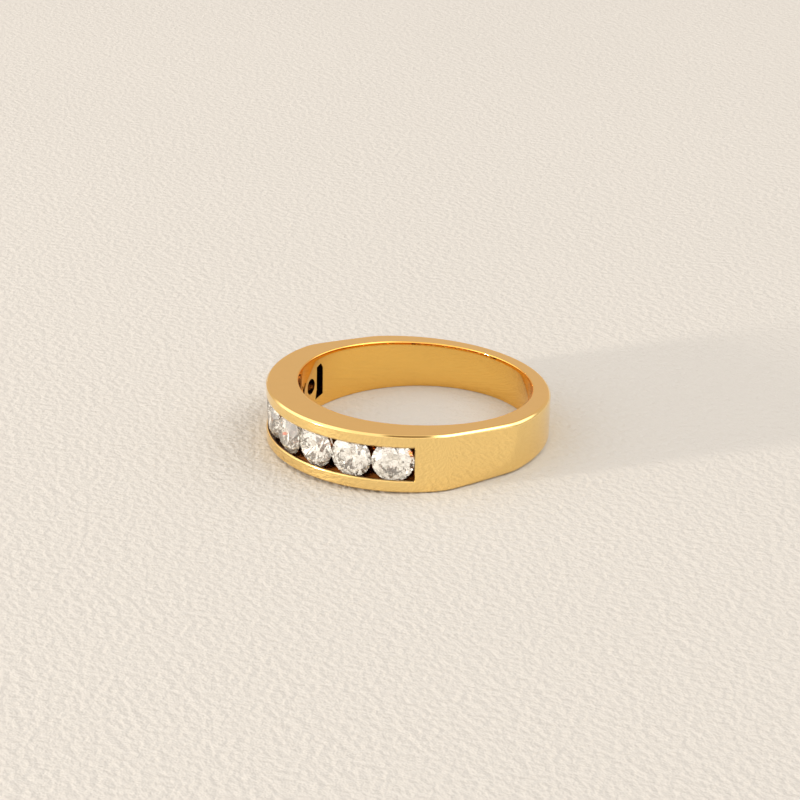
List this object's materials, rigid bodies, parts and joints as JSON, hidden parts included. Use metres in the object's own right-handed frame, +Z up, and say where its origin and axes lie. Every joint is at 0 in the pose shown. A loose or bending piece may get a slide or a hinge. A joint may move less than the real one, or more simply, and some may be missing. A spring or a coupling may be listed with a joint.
{
  "type": "channel set band",
  "caption": "Polished yellow gold finger ring with a squared head, tapering shank and a row of round brilliant stones held in a channel.",
  "frame": {"origin": "centre of the ring's bounding box on the surface that it lies on", "axes": "+Z up from the surface, across the band's width; -Y from the finger hole towards the middle of the stone row; X across the finger"},
  "size_m": [0.02, 0.0208, 0.0046],
  "materials": {
    "gold": "polished yellow gold",
    "diamond": "clear cut brilliant"
  },
  "bodies": {
    "root": {"band": "gold", "stone_1": "diamond", "stone_2": "diamond", "stone_3": "diamond", "stone_4": "diamond", "stone_5": "diamond", "stone_6": "diamond", "stone_7": "diamond"}
  },
  "joints": []
}
